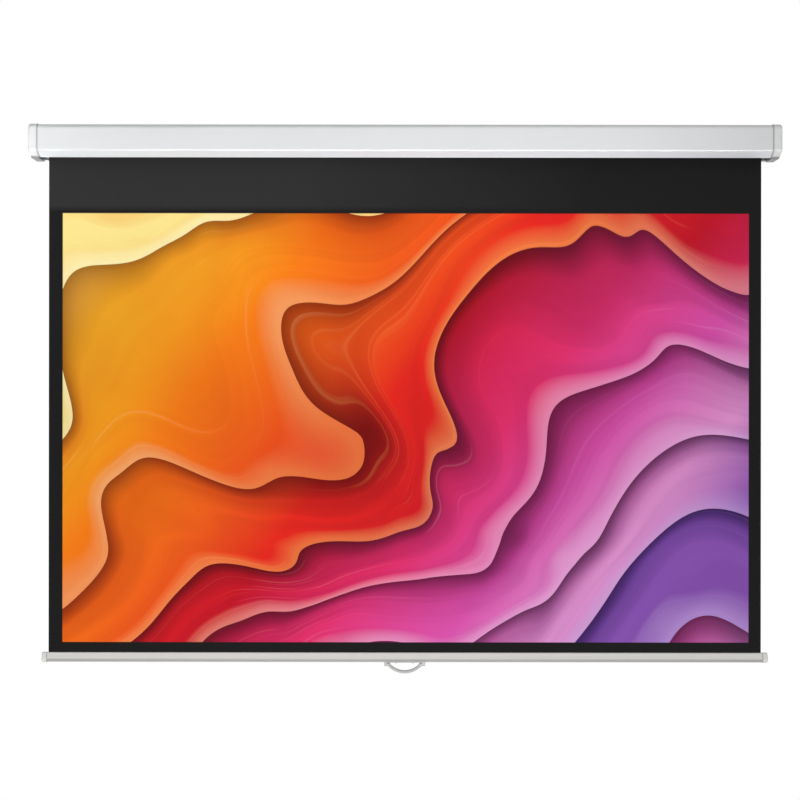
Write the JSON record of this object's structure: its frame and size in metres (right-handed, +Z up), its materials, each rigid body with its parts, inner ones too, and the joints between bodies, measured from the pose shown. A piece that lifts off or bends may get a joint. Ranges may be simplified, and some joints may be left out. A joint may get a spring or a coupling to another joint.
{
  "type": "pull down projector screen",
  "caption": "Wall-hung pull down projector screen: spring roller in a slim case, black-bordered fabric, weighted bottom bar and hinged pull handle.",
  "frame": {"origin": "centre of the case's flat back, on the wall", "axes": "+X to the viewer's right along the case, +Y into the wall, +Z up"},
  "size_m": [1.958, 0.0815, 1.4392],
  "materials": {
    "case_paint": "satin pale grey coating on extruded aluminium",
    "cap_plastic": "fine-textured pale grey moulding",
    "bracket_steel": "zinc-plated sheet steel",
    "screw_steel": "bright zinc plate",
    "tube_steel": "galvanised tube",
    "plug_plastic": "black moulded nylon",
    "spring_steel": "oiled spring wire",
    "pawl_metal": "yellow-passivated zinc alloy",
    "fabric": "matte projection cloth, black borders round a printed-looking picture area",
    "bar_metal": "satin warm grey anodised extrusion",
    "bar_plastic": "pale moulded end caps",
    "handle_plastic": "light grey moulding with a soft gloss"
  },
  "bodies": {
    "case": {"case_housing": "case_paint", "right_end_cap": "cap_plastic", "left_end_cap": "cap_plastic", "right_bracket": "bracket_steel", "left_bracket": "bracket_steel", "right_screw_top_front": "screw_steel", "left_screw_top_front": "screw_steel", "right_screw_top_rear": "screw_steel", "left_screw_top_rear": "screw_steel", "right_screw_low_front": "screw_steel", "left_screw_low_front": "screw_steel", "idle_bush": "plug_plastic", "spindle": "screw_steel", "ratchet_collar": "pawl_metal", "spring_anchor": "plug_plastic", "torsion_spring": "spring_steel"},
    "roller": {"roller_tube": "tube_steel", "fabric_roll": "fabric", "idle_plug": "plug_plastic", "idle_pin": "screw_steel", "pawl_carrier": "plug_plastic", "spindle_guide": "plug_plastic", "pawl_pin_a": "screw_steel", "pawl_pin_b": "screw_steel"},
    "upper_pawl": {"pawl_a": "pawl_metal"},
    "lower_pawl": {"pawl_b": "pawl_metal"},
    "pull_bar": {"screen_fabric": "fabric", "bottom_bar": "bar_metal", "hem_rod": "screw_steel", "left_bar_cap": "bar_plastic", "right_bar_cap": "bar_plastic", "handle_saddle": "handle_plastic", "saddle_screw_left": "screw_steel", "saddle_screw_right": "screw_steel"},
    "handle": {"pull_handle": "handle_plastic"}
  },
  "joints": [
    {"name": "screen_slide", "type": "slide", "parent": "case", "child": "pull_bar", "axis": [0, 0, 1], "range_m": [0, 1.292], "deforming": ["screen_fabric"]},
    {"name": "roller_spin", "type": "hinge", "parent": "case", "child": "roller", "pos_m": [0, -0.0405, 0.002], "axis": [1, 0, 0], "range_deg": [0, 3330]},
    {"name": "upper_pawl_pivot", "type": "hinge", "parent": "roller", "child": "upper_pawl", "pos_m": [0.9348, -0.0405, 0.0156], "axis": [1, 0, 0], "range_deg": [0, 17.9]},
    {"name": "lower_pawl_pivot", "type": "hinge", "parent": "roller", "child": "lower_pawl", "pos_m": [0.9348, -0.0405, -0.0116], "axis": [1, 0, 0], "range_deg": [0, 17.9]},
    {"name": "handle_pivot", "type": "hinge", "parent": "pull_bar", "child": "handle", "pos_m": [0, -0.02007, -1.3718], "axis": [1, 0, 0], "range_deg": [-90, 90]}
  ],
  "couplings": [
    {"joint": "roller_spin", "follows": "screen_slide", "rad_per_m": 44.984}
  ]
}
